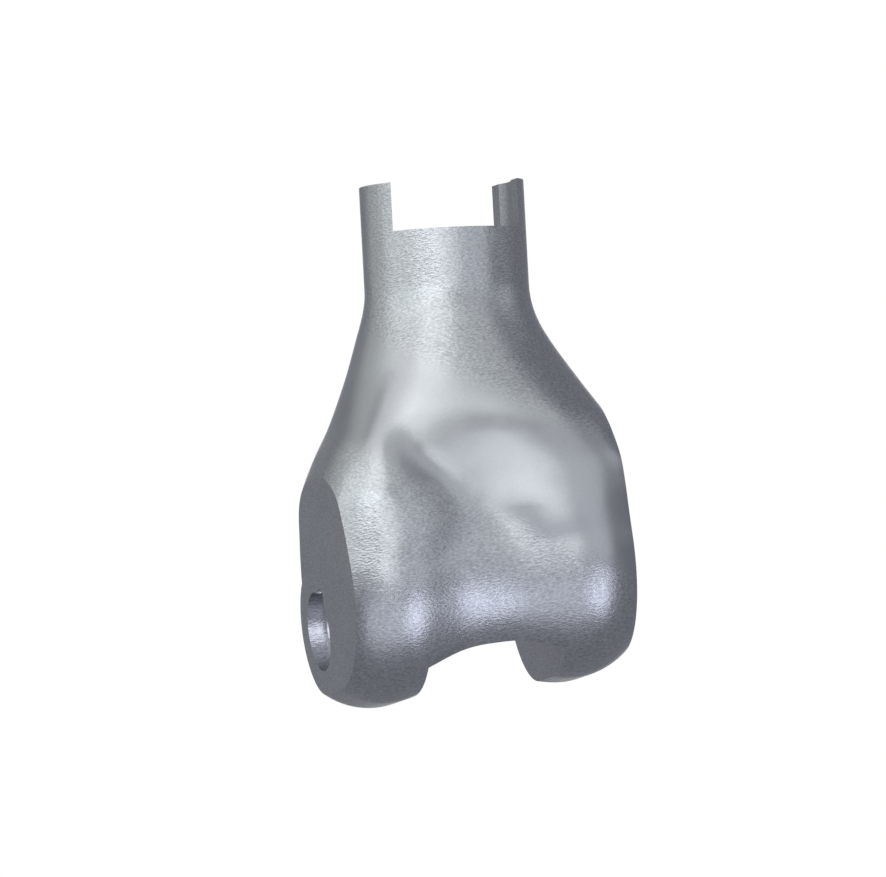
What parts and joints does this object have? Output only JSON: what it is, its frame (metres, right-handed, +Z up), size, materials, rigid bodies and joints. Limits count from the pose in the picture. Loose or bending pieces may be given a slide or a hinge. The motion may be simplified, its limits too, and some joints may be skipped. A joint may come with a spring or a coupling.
{
  "type": "distal femoral component of a hinged knee prosthesis",
  "caption": "Cast distal femoral component of a hinged knee: grooved front, flat-sided condyles round an open notch, keyed cross bore, and a leaning neck with lugs and a taper socket.",
  "frame": {"origin": "middle of the hinge axis, half way between the flat outer sides", "axes": "+X along the hinge axis to the lateral side, +Y to the back of the knee, +Z up the thigh"},
  "size_m": [0.0604, 0.0542, 0.1068],
  "materials": {
    "cast_alloy": "satin, with a fine cast grain"
  },
  "bodies": {
    "root": {"distal_femoral_component": "cast_alloy"}
  },
  "joints": []
}
